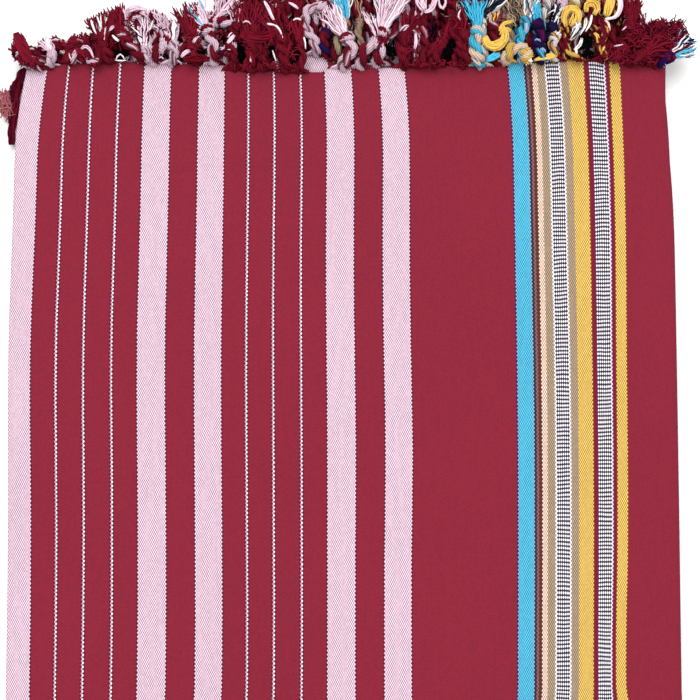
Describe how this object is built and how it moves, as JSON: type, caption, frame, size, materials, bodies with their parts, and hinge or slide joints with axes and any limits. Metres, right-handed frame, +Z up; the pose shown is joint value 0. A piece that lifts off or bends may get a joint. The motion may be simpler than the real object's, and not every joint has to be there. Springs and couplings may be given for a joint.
{
  "type": "folded shawl",
  "caption": "Handwoven striped cotton shawl with a knotted tassel fringe, folded into a long flat stack with both fringed ends together.",
  "frame": {"origin": "on the underside, between the side folds and midway along the folded cloth", "axes": "+Z up, +X across the folded cloth towards the top layer's selvage, +Y along the stripes towards the fringed ends"},
  "size_m": [0.2899, 0.8737, 0.02],
  "materials": {
    "striped_cotton": "matt warp-faced cotton weave, dark red with coloured warp stripes",
    "fringe_yarn": "matt twisted cotton yarn in the colours of the stripes above it"
  },
  "bodies": {
    "root": {"shawl_cloth": "striped_cotton", "fringe_upper_end_1": "fringe_yarn", "fringe_upper_end_2": "fringe_yarn", "fringe_upper_end_3": "fringe_yarn", "fringe_upper_end_4": "fringe_yarn", "fringe_lower_end_1": "fringe_yarn", "fringe_lower_end_2": "fringe_yarn", "fringe_lower_end_3": "fringe_yarn", "fringe_lower_end_4": "fringe_yarn"}
  },
  "joints": []
}
